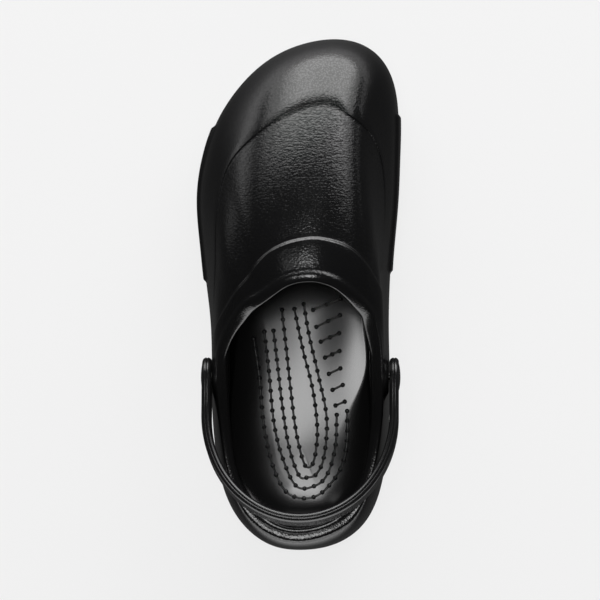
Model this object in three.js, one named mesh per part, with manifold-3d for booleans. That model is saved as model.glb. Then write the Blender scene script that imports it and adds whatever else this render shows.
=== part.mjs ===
// A left chef clog of moulded foam. Millimetres, +X medial, +Y toward the toe, +Z up.
// The origin is at the middle of the footprint, on the floor.
import * as THREE from "three";
import { mergeVertices } from "three/addons/utils/BufferGeometryUtils.js";
import Module from "manifold-3d";

const wasm = await Module();
wasm.setup();

// Driving sizes of the last and the sole
const LENGTH = 290;
const BALL_WIDTH = 116;
const INSTEP_HEIGHT = 102;
const HEEL_HEIGHT = 65;
const WIDEST_HEIGHT = 22;

// Walls, in thickness
const VAMP_WALL = 4.5;
const SIDE_WALL = 7.5;
const LIP_REACH = 12;
const LIP_DEPTH = 6;
const LIP_TURN = 0.7;
const WALL_PULL = 0.33;
const CREST_PULL = 0.6;
const PAST_CREST = 1;

// Sole: where its underside touches the floor, and how far it rises elsewhere
const HEEL_FLAT_REAR = -0.42 * LENGTH;
const HEEL_FLAT_FRONT = -0.24 * LENGTH;
const BALL_FLAT_REAR = 0;
const BALL_FLAT_FRONT = 0.21 * LENGTH;
const TOE_SPRING = 13;
const HEEL_ROLL = 4;
const ARCH_RISE = 3.5;
const TREAD_INSET = 5.5;
const WIDEST_LIFT = 0.6;

// Lugs: straight grooves across the tread
const GROOVE_WIDTH = 3.2;
const GROOVE_DEPTH = 2.2;
const GROOVE_PITCH = 11.5;
const GROOVE_MARGIN = 12;
const GROOVE_FRONT = 0.33 * LENGTH;

// Footbed
const FOOTBED_HEEL = 26;
const FOOTBED_BALL = 18;
const FOOTBED_TOE = 20;
const FOOTBED_DISH = 0.6;
const ARCH_SUPPORT = 2.4;
const CUP_ROUND = 26;
const CUP_LIFT = 2;

// Raised and sunk features of the outside
const CAP_STEP = 0.9;
const CAP_REACH = 66;
const BAND_STEP = 1.1;
const BAND_WIDTH = 19;
const PANEL_STEP = 1.4;
const STEP_RUN = 1.2;
const BAND_RUN = 2.2;
const BEAD_STEP = 1;
const BEAD_PLACE = 2.6;
const BEAD_RUN = 4;

// Strap and rivets: the strap spans the foot, and its rivets lie a little under the collar's edge
const STRAP_THICKNESS = 5.2;
const STRAP_WIDTH = 17;
const STRAP_LOBE_RADIUS = 10.8;
const STRAP_HALF_SPAN = 0.4733 * BALL_WIDTH;
const STRAP_CENTRE_OUT = 0.0203 * BALL_WIDTH;
const STRAP_REACH = 0.288 * LENGTH;
const STRAP_STRAIGHT = 22.5;
const STRAP_TILT = 14;
const STRAP_ROUND = 1.7;
const PIVOT_ALONG = -0.1586 * LENGTH;
const PIVOT_UP = HEEL_HEIGHT - 7;
const PAD_RADIUS = 13;
const PAD_FLAT = 8;
const POST_RADIUS = 3;
const HEAD_RADIUS = 8;
const HEAD_THICKNESS = 1.5;
const HEAD_DOME = 0.9;
const WASHER_RADIUS = 6.5;
const WASHER_THICKNESS = 1.6;
const WASHER_BEVEL = 0.4;
const RIVET_GRIP = 6.4;
const PAD_GAP = 0.4;
const CLEARANCE = 0.3;

// Places round the foot, from the toe tip along the medial side to the heel and back along the
// lateral side. foot: the widest line in plan. crest: the top of the collar's lip, its rise a share
// of the way from heel height to instep height. form: which row of FORMS shapes the wall between
// them. cap: how far above the widest line the toe cap ends, a share of its reach. band: how wide the
// collar band is, a share of its width. capStep and bandStep: how much of each step is left there.
// wall: how much of the way from vamp wall to side wall. cup: where the inside turns to footbed.
// cupReach: how far inward that turn reaches, a share of CUP_ROUND. lipReach: how far the
// opening's lip bulges inward, as a share of LIP_REACH.
const RING_COLUMNS = [
  "footAlong", "footOut", "crestAlong", "crestOut", "crestRise",
  "form", "cap", "capStep", "band", "bandStep", "wall", "cup",
  "cupReach", "lipReach",
];
const RING = [
  [0.5007, 0.174, 0.034, 0.08, 1.0, 0, 1, 1, 1.11, 1, 0, 4, 0.3, 0.75],
  [0.4814, 0.353, 0.0322, 0.124, 0.99, 0.15, 1.03, 1, 1.11, 1, 0, 4, 0.3, 0.75],
  [0.4276, 0.457, 0.0268, 0.172, 0.96, 0.4, 0.98, 1, 1.12, 1, 0, 4, 0.3, 0.78],
  [0.3517, 0.49, 0.0175, 0.218, 0.9, 0.75, 0.78, 1, 1.12, 1, 0, 4, 0.3, 0.82],
  [0.269, 0.487, 0.0025, 0.267, 0.81, 1, 0.53, 0.8, 1.06, 1, 0.05, 4, 0.3, 0.9],
  [0.1862, 0.479, -0.015, 0.31, 0.69, 1, 0.46, 0.3, 0.98, 1, 0.15, 4, 0.3, 1],
  [0.1034, 0.461, -0.035, 0.35, 0.55, 1.15, 0.45, 0, 0.9, 1, 0.35, 4.1, 0.3, 1.05],
  [0.0345, 0.449, -0.065, 0.373, 0.42, 1.6, 0.45, 0, 0.9, 1, 0.6, 4.3, 0.3, 1.05],
  [-0.0552, 0.443, -0.108, 0.39, 0.27, 2.1, 0.45, 0, 0.85, 1, 0.85, 4.7, 0.35, 0.8],
  [-0.1517, 0.4475, -0.172, 0.404, 0.12, 2.7, 0.45, 0, 0.9, 0.5, 1, 5.1, 0.45, 0.55],
  [-0.2552, 0.444, -0.258, 0.406, -0.02, 3, 0.45, 0, 0.9, 0, 1, 5.3, 0.6, 0.42],
  [-0.3655, 0.412, -0.353, 0.36, -0.07, 3.3, 0.45, 0, 0.9, 0, 1, 5.3, 0.8, 0.38],
  [-0.4466, 0.328, -0.424, 0.28, -0.05, 3.7, 0.45, 0, 0.9, 0, 1, 5.3, 0.9, 0.38],
  [-0.4897, 0.181, -0.457, 0.157, -0.01, 4, 0.45, 0, 0.9, 0, 1, 5.3, 0.9, 0.38],
  [-0.5007, 0.013, -0.471, 0.017, 0, 4, 0.45, 0, 0.9, 0, 1, 5.3, 0.9, 0.38],
  [-0.4897, -0.147, -0.459, -0.115, -0.01, 4, 0.45, 0, 0.9, 0, 1, 5.3, 0.9, 0.38],
  [-0.4431, -0.289, -0.423, -0.232, -0.05, 3.7, 0.45, 0, 0.9, 0, 1, 5.3, 0.9, 0.38],
  [-0.3655, -0.379, -0.352, -0.322, -0.07, 3.3, 0.45, 0, 0.9, 0, 1, 5.3, 0.95, 0.38],
  [-0.2552, -0.42, -0.257, -0.359, -0.02, 3, 0.45, 0, 0.9, 0, 1, 5.3, 0.95, 0.38],
  [-0.1517, -0.425, -0.17, -0.371, 0.12, 2.7, 0.45, 0, 0.85, 0.5, 1, 5.1, 0.9, 0.45],
  [-0.0552, -0.433, -0.11, -0.349, 0.27, 2.1, 0.52, 0, 0.68, 1, 0.85, 4.7, 0.85, 0.6],
  [0.0276, -0.457, -0.07, -0.311, 0.42, 1.6, 0.63, 0.3, 0.56, 1, 0.6, 4.3, 0.7, 0.8],
  [0.1034, -0.476, -0.042, -0.267, 0.55, 1.15, 0.7, 0.5, 0.53, 1, 0.35, 4.1, 0.4, 1],
  [0.1862, -0.491, -0.019, -0.22, 0.69, 1, 0.7, 0.5, 0.58, 1, 0.15, 4, 0.3, 1.1],
  [0.269, -0.464, -0.006, -0.163, 0.81, 1, 0.71, 0.8, 0.78, 1, 0.05, 4, 0.3, 0.9],
  [0.3517, -0.388, 0.0085, -0.108, 0.9, 0.75, 0.84, 1, 0.94, 1, 0, 4, 0.3, 0.82],
  [0.4297, -0.241, 0.0232, -0.05, 0.96, 0.4, 0.95, 1, 1.02, 1, 0, 4, 0.3, 0.78],
  [0.481, -0.052, 0.0317, 0.014, 0.99, 0.15, 0.99, 1, 1.07, 1, 0, 4, 0.3, 0.75],
];

// Shapes of the wall from the widest line to the crest: in is a share of the way in plan, up of the rise.
const FORM_COLUMNS = ["in1", "up1", "in2", "up2", "in3", "up3", "in4", "up4"];
const FORMS = {
  toe: [0.014, 0.19, 0.07, 0.4, 0.25, 0.62, 0.62, 0.88],
  ball: [0.03, 0.22, 0.14, 0.46, 0.36, 0.73, 0.68, 0.915],
  waist: [0.06, 0.26, 0.19, 0.51, 0.43, 0.76, 0.73, 0.925],
  side: [0.07, 0.27, 0.22, 0.48, 0.42, 0.69, 0.7, 0.9],
  heel: [0.08, 0.26, 0.24, 0.5, 0.48, 0.74, 0.75, 0.92],
};

// The sole's edge from the tread up to the widest line: inset is a share of the tread's inset,
// up of the height between them.
const SOLE_EDGE_COLUMNS = ["inset", "up"];
const SOLE_EDGE = [
  [1, 0],
  [0.5, 0.05],
  [0.16, 0.28],
  [0.02, 0.62],
];

// Control rows of a section, counted from the tread's edge
const WIDEST_ROW = SOLE_EDGE.length;
const CREST_ROW = WIDEST_ROW + 5;
const MIDWALL_ROW = 3.2;
const WALK_STEP = 0.02;
const SLOPE_STEP = 0.05;
const PANEL_ROWS = { low: 2.3, high: 4.75 };
const PANEL_PLACES = {
  medial: { front: 3, rear: 6.85 },
  lateral: { front: 3.27, rear: 7 },
};
const PANEL_END = 0.06;
const PANEL_EDGE = 0.1;
const SAMPLES_PER_PLACE = 3;
const STRAP_BEND_STEPS = 16;
const ROUND_SIDES = 24;
const SPINE_SHARE = 0.8;

// Rows of a table as objects, with their columns by name.
function named(columns, rows) {
  return rows.map((row) => Object.fromEntries(columns.map((name, i) => [name, row[i]])));
}

function lerp(a, b, share) {
  return a + (b - a) * share;
}

// 0 below low, 1 above high, and smooth between.
function smooth(low, high, value) {
  const share = Math.min(Math.max((value - low) / (high - low), 0), 1);
  return share * share * (3 - 2 * share);
}

// Weights of a uniform cubic B-spline at share f between its second and third control.
function splineWeights(f) {
  const g = 1 - f;
  return [
    (g * g * g) / 6,
    (3 * f * f * f - 6 * f * f + 4) / 6,
    (-3 * f * f * f + 3 * f * f + 3 * f + 1) / 6,
    (f * f * f) / 6,
  ];
}

// Controls of the closed smooth curve that passes through a column of the ring.
function ringControls(values) {
  const count = values.length;
  let controls = values;
  for (let pass = 0; pass < 3; pass += 1) {
    const curve = controls.map((value, i) => {
      const before = controls[(i + count - 1) % count];
      const after = controls[(i + 1) % count];
      return (before + 4 * value + after) / 6;
    });
    controls = controls.map((value, i) => value + values[i] - curve[i]);
  }
  return controls;
}

// The wall's shape at a position among the forms, which may lie between two of them.
function formAt(position) {
  const low = Math.min(Math.floor(position), formRows.length - 2);
  const shape = {};
  for (const name of FORM_COLUMNS) {
    shape[name] = lerp(formRows[low][name], formRows[low + 1][name], position - low);
  }
  return shape;
}

const formRows = named(FORM_COLUMNS, Object.values(FORMS));
const soleEdgeRows = named(SOLE_EDGE_COLUMNS, SOLE_EDGE);
const ringRows = named(RING_COLUMNS, RING).map((row) => ({ ...row, ...formAt(row.form) }));
const PLACES = ringRows.length;
const ring = Object.fromEntries(
  Object.keys(ringRows[0]).map((name) => [name, ringControls(ringRows.map((row) => row[name]))]),
);

// A column of the ring at place u, which may lie between two rows.
function ringValue(name, u) {
  const whole = Math.floor(u);
  const weights = splineWeights(u - whole);
  const controls = ring[name];
  let value = 0;
  for (let i = 0; i < 4; i += 1) {
    value += weights[i] * controls[(whole - 1 + i + 2 * PLACES) % PLACES];
  }
  return value;
}

function planPoint(u, along, out) {
  return new THREE.Vector2(ringValue(out, u) * BALL_WIDTH, ringValue(along, u) * LENGTH);
}

// The direction in plan that points from the line of the ring to its inside.
function inward(u, along, out) {
  const step = 0.02;
  const ahead = planPoint(u + step, along, out);
  const behind = planPoint(u - step, along, out);
  const tangent = ahead.sub(behind).normalize();
  return new THREE.Vector2(tangent.y, -tangent.x);
}

// Height of the sole's underside above the floor.
function ground(y) {
  const toe = smoothRise(BALL_FLAT_FRONT, LENGTH / 2, y) * TOE_SPRING;
  const heel = smoothRise(HEEL_FLAT_REAR, -LENGTH / 2, y) * HEEL_ROLL;
  const middle = (HEEL_FLAT_FRONT + BALL_FLAT_REAR) / 2;
  const reach = (BALL_FLAT_REAR - HEEL_FLAT_FRONT) / 2;
  const share = Math.max(0, 1 - Math.abs(y - middle) / reach);
  return toe + heel + ARCH_RISE * smooth(0, 1, share);
}

function smoothRise(from, to, value) {
  const share = Math.min(Math.max((value - from) / (to - from), 0), 1.1);
  return share * share;
}

// Height of the footbed; reach is 0 on its middle line and 1 at its edge.
function footbed(x, y, reach) {
  const toeward = smooth(-0.3 * LENGTH, 0.15 * LENGTH, y);
  const tip = smooth(0.2 * LENGTH, 0.5 * LENGTH, y);
  const level = lerp(lerp(FOOTBED_HEEL, FOOTBED_BALL, toeward), FOOTBED_TOE, tip);
  const archOut = (x - 0.3 * BALL_WIDTH) / (0.19 * BALL_WIDTH);
  const archAlong = (y + 0.09 * LENGTH) / (0.16 * LENGTH);
  const arch = ARCH_SUPPORT * Math.exp(-archOut * archOut - archAlong * archAlong);
  return level + arch + FOOTBED_DISH * reach * reach;
}

// Controls of the outside at place u, from the tread's edge to just past the crest.
function outerControls(u) {
  const foot = planPoint(u, "footAlong", "footOut");
  const footIn = inward(u, "footAlong", "footOut");
  const crest = planPoint(u, "crestAlong", "crestOut");
  const crestIn = inward(u, "crestAlong", "crestOut");
  const crestHeight = lerp(HEEL_HEIGHT, INSTEP_HEIGHT, ringValue("crestRise", u));
  const widest = WIDEST_HEIGHT + ground(foot.y) * WIDEST_LIFT;
  const points = soleEdgeRows.map((row) => {
    const inset = row.inset * TREAD_INSET;
    const place = foot.clone().addScaledVector(footIn, inset);
    const base = ground(place.y);
    return new THREE.Vector3(place.x, place.y, lerp(base, widest, row.up));
  });
  points.push(new THREE.Vector3(foot.x, foot.y, widest));
  const reach = foot.distanceTo(crest) * WALL_PULL;
  const path = new THREE.CubicBezierCurve(
    foot,
    foot.clone().addScaledVector(footIn, reach),
    crest.clone().addScaledVector(crestIn, -reach),
    crest,
  );
  for (const step of [1, 2, 3, 4]) {
    const place = path.getPoint(ringValue("in" + step, u));
    const height = lerp(widest, crestHeight, ringValue("up" + step, u));
    points.push(new THREE.Vector3(place.x, place.y, height));
  }
  points.push(new THREE.Vector3(crest.x, crest.y, crestHeight));
  const past = crest.clone().addScaledVector(crestIn, reach * CREST_PULL + PAST_CREST);
  points.push(new THREE.Vector3(past.x, past.y, lerp(points[CREST_ROW - 1].z, crestHeight, CREST_PULL)));
  return points;
}

// Point of the smooth curve through a list of controls, at row t.
function curvePoint(points, t) {
  const last = points.length - 1;
  const whole = Math.min(Math.floor(t), last - 1);
  const weights = splineWeights(t - whole);
  const at = (i) => {
    if (i < 0) return points[0].clone().multiplyScalar(2).sub(points[1]);
    if (i > last) return points[last].clone().multiplyScalar(2).sub(points[last - 1]);
    return points[i];
  };
  const sum = new THREE.Vector3();
  weights.forEach((weight, i) => sum.addScaledVector(at(whole - 1 + i), weight));
  return sum;
}

function curveControls(points) {
  let controls = points.map((point) => point.clone());
  for (let pass = 0; pass < 3; pass += 1) {
    const curve = controls.map((_, i) => curvePoint(controls, i));
    controls = controls.map((control, i) => control.clone().add(points[i]).sub(curve[i]));
  }
  return controls;
}

// One section of the outside with the two beside it, which give its normals.
function sectionAt(u) {
  const step = 0.03;
  const here = curveControls(outerControls(u));
  const ahead = curveControls(outerControls(u + step));
  const behind = curveControls(outerControls(u - step));
  const point = (t) => curvePoint(here, t);
  const normal = (t) => {
    const across = curvePoint(here, t + 0.02).sub(curvePoint(here, Math.max(t - 0.02, 0)));
    const round = curvePoint(ahead, t).sub(curvePoint(behind, t));
    return across.cross(round).normalize();
  };
  const cap = rowAt(point, WIDEST_ROW, CAP_REACH * ringValue("cap", u), 1);
  const band = rowAt(point, CREST_ROW, BAND_WIDTH * ringValue("band", u), -1);
  const bead = rowAt(point, CREST_ROW, BEAD_PLACE, -1);
  const lip = rowAt(point, CREST_ROW, LIP_DEPTH, -1);
  const capHalf = stepHalf(point, cap, STEP_RUN);
  const bandHalf = stepHalf(point, band, BAND_RUN);
  const beadHalf = stepHalf(point, bead, BEAD_RUN);
  return { u, point, normal, cap, band, bead, lip, capHalf, bandHalf, beadHalf };
}

// The row reached by walking a distance along a section from one of its rows.
function rowAt(point, from, distance, direction) {
  let row = from;
  let walked = 0;
  let previous = point(row);
  let stride = 0;
  while (walked < distance) {
    row += direction * WALK_STEP;
    const next = point(row);
    stride = next.distanceTo(previous);
    walked += stride;
    previous = next;
  }
  return row - (direction * WALK_STEP * (walked - distance)) / stride;
}

// Half the run of a step of the surface, in rows of its section.
function stepHalf(point, edge, run) {
  const speed = point(edge + 0.1).distanceTo(point(edge - 0.1)) / 0.2;
  return run / 2 / speed;
}

// 1 beside the side panels and 0 past their ends.
function panelShare(u) {
  const place = Math.min(u, PLACES - u);
  const { front, rear } = u < PLACES / 2 ? PANEL_PLACES.medial : PANEL_PLACES.lateral;
  return smooth(front - PANEL_END, front + PANEL_END, place)
    * (1 - smooth(rear - PANEL_END, rear + PANEL_END, place));
}

// Height of the outside's raised features over its smooth form.
function relief(section, t) {
  const { u, cap, band, bead, capHalf, bandHalf, beadHalf } = section;
  const sunk = CAP_STEP * ringValue("capStep", u) * smooth(cap - capHalf, cap + capHalf, t);
  const edge = BAND_STEP * smooth(band - bandHalf, band + bandHalf, t)
    + BEAD_STEP * smooth(bead - beadHalf, bead + beadHalf, t);
  const raised = edge * ringValue("bandStep", u);
  const low = smooth(PANEL_ROWS.low - PANEL_EDGE, PANEL_ROWS.low + PANEL_EDGE, t);
  const high = 1 - smooth(PANEL_ROWS.high - PANEL_EDGE, PANEL_ROWS.high + PANEL_EDGE, t);
  return raised - sunk + PANEL_STEP * panelShare(u) * low * high;
}

// Where the strap's lobes lie on the shell, on the medial and the lateral side.
const SIDES = [
  { name: "medial", sign: 1 },
  { name: "lateral", sign: -1 },
];
function strapOuterFace(sign) {
  return STRAP_CENTRE_OUT + sign * STRAP_HALF_SPAN;
}
function padFace(sign) {
  return strapOuterFace(sign) - sign * (STRAP_THICKNESS + PAD_GAP);
}

// Flattens the outside round each rivet, so that the strap's lobe lies on a flat pad.
function padded(point) {
  const sign = Math.sign(point.x);
  const distance = Math.hypot(point.y - PIVOT_ALONG, point.z - PIVOT_UP);
  const share = 1 - smooth(PAD_FLAT, PAD_RADIUS, distance);
  const moved = point.clone();
  moved.x = lerp(point.x, padFace(sign), share);
  return moved;
}

function outsidePoint(section, t) {
  const point = section.point(t).addScaledVector(section.normal(t), relief(section, t));
  return padded(point);
}

function between(from, to, count) {
  return Array.from({ length: count }, (_, i) => lerp(from, to, (i + 1) / (count + 1)));
}

// The points of one section, from the tread's edge over the outside, the lip and the inside to the
// edge of the footbed.
function sectionPoints(u) {
  const section = sectionAt(u);
  const { cap, band, bead, capHalf, bandHalf, beadHalf } = section;
  const { low, high } = PANEL_ROWS;
  const outerRows = [
    0, 1, 2, low - PANEL_EDGE, low + PANEL_EDGE, MIDWALL_ROW, WIDEST_ROW, high - PANEL_EDGE, high + PANEL_EDGE,
    ...between(high + PANEL_EDGE, cap - capHalf, 2), cap - capHalf, cap + capHalf,
    ...between(cap + capHalf, band - bandHalf, 5), band - bandHalf, band + bandHalf,
    ...between(band + bandHalf, bead - beadHalf, 1), bead - beadHalf, bead, bead + beadHalf, CREST_ROW,
  ];
  const outside = outerRows.map((t) => outsidePoint(section, t));

  const wall = lerp(VAMP_WALL, SIDE_WALL, ringValue("wall", u));
  const insidePoint = (t) => section.point(t).addScaledVector(section.normal(t), -wall);
  const cupRow = ringValue("cup", u);
  const crest = outside[outside.length - 1];
  const crestIn = inward(u, "crestAlong", "crestOut");
  const reach = LIP_REACH * ringValue("lipReach", u);
  const under = insidePoint(section.lip);
  const along = section.point(section.lip + SLOPE_STEP)
    .sub(section.point(section.lip - SLOPE_STEP))
    .normalize();
  const lip = new THREE.CubicBezierCurve3(
    crest,
    crest.clone().add(new THREE.Vector3(crestIn.x, crestIn.y, 0).multiplyScalar(reach)),
    under.clone().addScaledVector(along, LIP_TURN * LIP_DEPTH),
    under,
  );
  const lipPoints = [0.2, 0.4, 0.6, 0.8].map((share) => lip.getPoint(share));
  const wallPoints = [section.lip, ...between(section.lip, cupRow, 5), cupRow].map(insidePoint);

  const start = wallPoints[wallPoints.length - 1];
  const footIn = inward(u, "footAlong", "footOut");
  const round = CUP_ROUND * ringValue("cupReach", u);
  const edge = start.clone().add(new THREE.Vector3(footIn.x, footIn.y, 0).multiplyScalar(round));
  edge.z = footbed(edge.x, edge.y, 1);
  const corner = new THREE.Vector3(start.x, start.y, edge.z + CUP_LIFT);
  const cup = new THREE.QuadraticBezierCurve3(start, corner, edge);
  const cupPoints = [0.33, 0.67, 1].map((share) => cup.getPoint(share));
  return [...outside, ...lipPoints, ...wallPoints, ...cupPoints];
}

// Middle line under or inside the shoe that a ring of edge points closes onto.
function spineOf(edge) {
  const count = edge.length;
  return edge.map((point, i) => {
    const mate = edge[(count - i) % count];
    return new THREE.Vector2(point.x + mate.x, point.y + mate.y).multiplyScalar(0.5 * SPINE_SHARE);
  });
}

// Rings from an edge to its middle line, with their heights from a function of place.
function closingRings(edge, shares, height) {
  const spine = spineOf(edge);
  return shares.map((share) =>
    edge.map((point, i) => {
      const x = lerp(spine[i].x, point.x, share);
      const y = lerp(spine[i].y, point.y, share);
      return new THREE.Vector3(x, y, height(x, y, share));
    }),
  );
}

// Places round the foot where sections stand, closer together at the panels' ends.
function placesRound() {
  const places = [];
  for (let i = 0; i < PLACES * SAMPLES_PER_PLACE; i += 1) {
    places.push(i / SAMPLES_PER_PLACE);
  }
  const ends = Object.values(PANEL_PLACES).flatMap(({ front, rear }) => [front, rear]);
  const mirrored = ends.flatMap((end) => [end, PLACES - end]);
  const clear = places.filter((place) => mirrored.every((end) => Math.abs(place - end) > 0.2));
  const beside = mirrored.flatMap((end) => [end - PANEL_END, end + PANEL_END]);
  return [...new Set([...clear, ...beside])].sort((a, b) => a - b);
}

// One closed surface from rings of points, the first and the last folded onto their middle lines.
function ringsGeometry(rings) {
  const count = rings[0].length;
  const positions = rings.flat().flatMap((point) => point.toArray());
  const index = [];
  for (let ringIndex = 0; ringIndex < rings.length - 1; ringIndex += 1) {
    for (let i = 0; i < count; i += 1) {
      const next = (i + 1) % count;
      const a = ringIndex * count + i;
      const b = ringIndex * count + next;
      const c = (ringIndex + 1) * count + i;
      const d = (ringIndex + 1) * count + next;
      index.push(a, c, b, b, c, d);
    }
  }
  const geometry = new THREE.BufferGeometry();
  geometry.setAttribute("position", new THREE.Float32BufferAttribute(positions, 3));
  geometry.setIndex(index);
  return geometry;
}

// A closed geometry as a solid, and a solid as a geometry.
function solidOf(geometry) {
  const bare = geometry.clone();
  bare.deleteAttribute("normal");
  bare.deleteAttribute("uv");
  const merged = mergeVertices(bare, 1e-4);
  const vertProperties = new Float32Array(merged.attributes.position.array);
  const triVerts = new Uint32Array(merged.index.array);
  return new wasm.Manifold(new wasm.Mesh({ numProp: 3, vertProperties, triVerts }));
}
function geometryOf(solid) {
  const mesh = solid.getMesh();
  const geometry = new THREE.BufferGeometry();
  geometry.setAttribute("position", new THREE.BufferAttribute(mesh.vertProperties, 3));
  geometry.setIndex(new THREE.BufferAttribute(mesh.triVerts, 1));
  return geometry;
}

// A cylinder along X between two places.
function bore(radius, from, to) {
  const geometry = new THREE.CylinderGeometry(radius, radius, Math.abs(to - from), ROUND_SIDES);
  geometry.rotateZ(Math.PI / 2);
  geometry.translate((from + to) / 2, PIVOT_ALONG, PIVOT_UP);
  return solidOf(geometry);
}

// Straight grooves across the tread, each as long as the tread is wide there, less a margin.
function grooves(treadEdge) {
  const half = treadEdge.length / 2;
  const widthAt = (y) => {
    const side = (points) => {
      const i = points.findIndex((point) => point.y < y);
      return points[Math.max(i, 1)].x;
    };
    const medial = side(treadEdge.slice(0, half + 1));
    const lateral = side([treadEdge[0], ...treadEdge.slice(half).reverse()]);
    return { medial: medial - GROOVE_MARGIN, lateral: lateral + GROOVE_MARGIN };
  };
  const cutters = [];
  const firstGroove = HEEL_FLAT_REAR + GROOVE_PITCH / 2;
  for (let y = firstGroove; y < GROOVE_FRONT; y += GROOVE_PITCH) {
    const inArch = y > HEEL_FLAT_FRONT && y < BALL_FLAT_REAR;
    if (inArch) continue;
    const { medial, lateral } = widthAt(y);
    const top = ground(y) + GROOVE_DEPTH;
    const box = new THREE.BoxGeometry(medial - lateral, GROOVE_WIDTH, top + 1);
    box.translate((medial + lateral) / 2, y, (top - 1) / 2);
    cutters.push(solidOf(box));
  }
  return cutters;
}

function shellGeometry() {
  const sections = placesRound().map(sectionPoints);
  const rings = sections[0].map((_, row) => sections.map((section) => section[row]));
  const treadEdge = rings[0];
  const footbedEdge = rings[rings.length - 1];
  const tread = closingRings(treadEdge, [0, 0.35, 0.7], (x, y) => ground(y));
  const bed = closingRings(footbedEdge, [0.75, 0.45, 0], footbed);
  let solid = solidOf(ringsGeometry([...tread, ...rings, ...bed]));
  for (const cutter of grooves(treadEdge)) {
    solid = solid.subtract(cutter);
  }
  for (const { sign } of SIDES) {
    const pad = padFace(sign);
    const seat = pad - sign * RIVET_GRIP;
    solid = solid.subtract(bore(POST_RADIUS + CLEARANCE, pad + sign * 2, seat - sign * 6));
    solid = solid.subtract(bore(WASHER_RADIUS + CLEARANCE, seat, seat - sign * 10));
  }
  return geometryOf(solid);
}

// The strap's own plane: out across the shoe, back along the arm from the rivets, up across its band.
function strapPlace(out, back, up) {
  const tilt = THREE.MathUtils.degToRad(STRAP_TILT);
  return new THREE.Vector3(
    STRAP_CENTRE_OUT + out,
    PIVOT_ALONG - back * Math.cos(tilt) + up * Math.sin(tilt),
    PIVOT_UP + back * Math.sin(tilt) + up * Math.cos(tilt),
  );
}

// Stations of the band from the medial lobe's tip to the middle of the back, with half its width.
function strapStations() {
  const halfSpan = STRAP_HALF_SPAN - STRAP_THICKNESS / 2;
  const bend = STRAP_REACH - STRAP_STRAIGHT - STRAP_THICKNESS / 2;
  const band = STRAP_WIDTH / 2;
  const stations = [];
  for (const angle of [4, 14, 26, 40, 55, 72]) {
    const turn = THREE.MathUtils.degToRad(angle);
    const back = -STRAP_LOBE_RADIUS * Math.cos(turn);
    stations.push({ out: halfSpan, back, half: STRAP_LOBE_RADIUS * Math.sin(turn), facing: 0 });
  }
  for (const share of [0, 0.17, 0.33, 0.5, 0.67, 0.83]) {
    const half = lerp(STRAP_LOBE_RADIUS, band, smooth(0, 1, share));
    stations.push({ out: halfSpan, back: share * STRAP_STRAIGHT, half, facing: 0 });
  }
  for (let i = 0; i <= STRAP_BEND_STEPS; i += 1) {
    const turn = (i / STRAP_BEND_STEPS) * (Math.PI / 2);
    const out = halfSpan * Math.cos(turn);
    const back = STRAP_STRAIGHT + bend * Math.sin(turn);
    const facing = Math.atan2(halfSpan * Math.sin(turn), bend * Math.cos(turn));
    stations.push({ out, back, half: band, facing });
  }
  return stations;
}

// The rounded outline of the band's cross-section.
function strapOutline(half) {
  const round = Math.min(STRAP_ROUND, half);
  const outline = [];
  for (const [across, up] of [[1, -1], [1, 1], [-1, 1], [-1, -1]]) {
    const centre = new THREE.Vector2(across * (STRAP_THICKNESS / 2 - round), up * (half - round));
    const first = Math.atan2(up, across) - Math.PI / 4;
    for (const share of [0, 0.5, 1]) {
      const angle = first + share * (Math.PI / 2);
      outline.push(new THREE.Vector2(Math.cos(angle), Math.sin(angle)).multiplyScalar(round).add(centre));
    }
  }
  return outline;
}

function strapGeometry() {
  const right = strapStations();
  const left = right.slice(0, -1).reverse().map((station) => ({
    ...station,
    out: -station.out,
    facing: Math.PI - station.facing,
  }));
  const rings = [...right, ...left].reverse().map((station) =>
    strapOutline(station.half).map((corner) =>
      strapPlace(
        station.out + corner.x * Math.cos(station.facing),
        station.back + corner.x * Math.sin(station.facing),
        corner.y,
      ),
    ),
  );
  const ends = [rings[0], rings[rings.length - 1]].map((outline) => {
    const middle = outline.reduce((sum, point) => sum.add(point), new THREE.Vector3());
    middle.divideScalar(outline.length);
    return outline.map(() => middle);
  });
  let solid = solidOf(ringsGeometry([ends[0], ...rings, ends[1]]));
  for (const { sign } of SIDES) {
    const face = strapOuterFace(sign);
    const inner = face - sign * STRAP_THICKNESS;
    solid = solid.subtract(bore(POST_RADIUS + CLEARANCE, face + sign, inner - sign));
    solid = solid.subtract(
      bore(HEAD_RADIUS + CLEARANCE, face + sign, face - sign * (HEAD_THICKNESS + CLEARANCE)),
    );
  }
  return geometryOf(solid);
}

// A rivet's outer half: a low domed head, sunk in the strap's lobe, and the post that runs inward.
function rivetCapGeometry() {
  const toWasher = HEAD_THICKNESS + CLEARANCE;
  const post = STRAP_THICKNESS - toWasher + PAD_GAP + RIVET_GRIP + CLEARANCE + WASHER_THICKNESS;
  const profile = [
    new THREE.Vector2(0, -post),
    new THREE.Vector2(POST_RADIUS, -post),
    new THREE.Vector2(POST_RADIUS, 0),
    new THREE.Vector2(HEAD_RADIUS, 0),
    new THREE.Vector2(HEAD_RADIUS, HEAD_THICKNESS),
  ];
  for (const share of [0.75, 0.5, 0.25]) {
    const height = HEAD_THICKNESS + HEAD_DOME * (1 - share * share);
    profile.push(new THREE.Vector2(HEAD_RADIUS * share, height));
  }
  profile.push(new THREE.Vector2(0, HEAD_THICKNESS + HEAD_DOME));
  return new THREE.LatheGeometry(profile, ROUND_SIDES);
}

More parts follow.
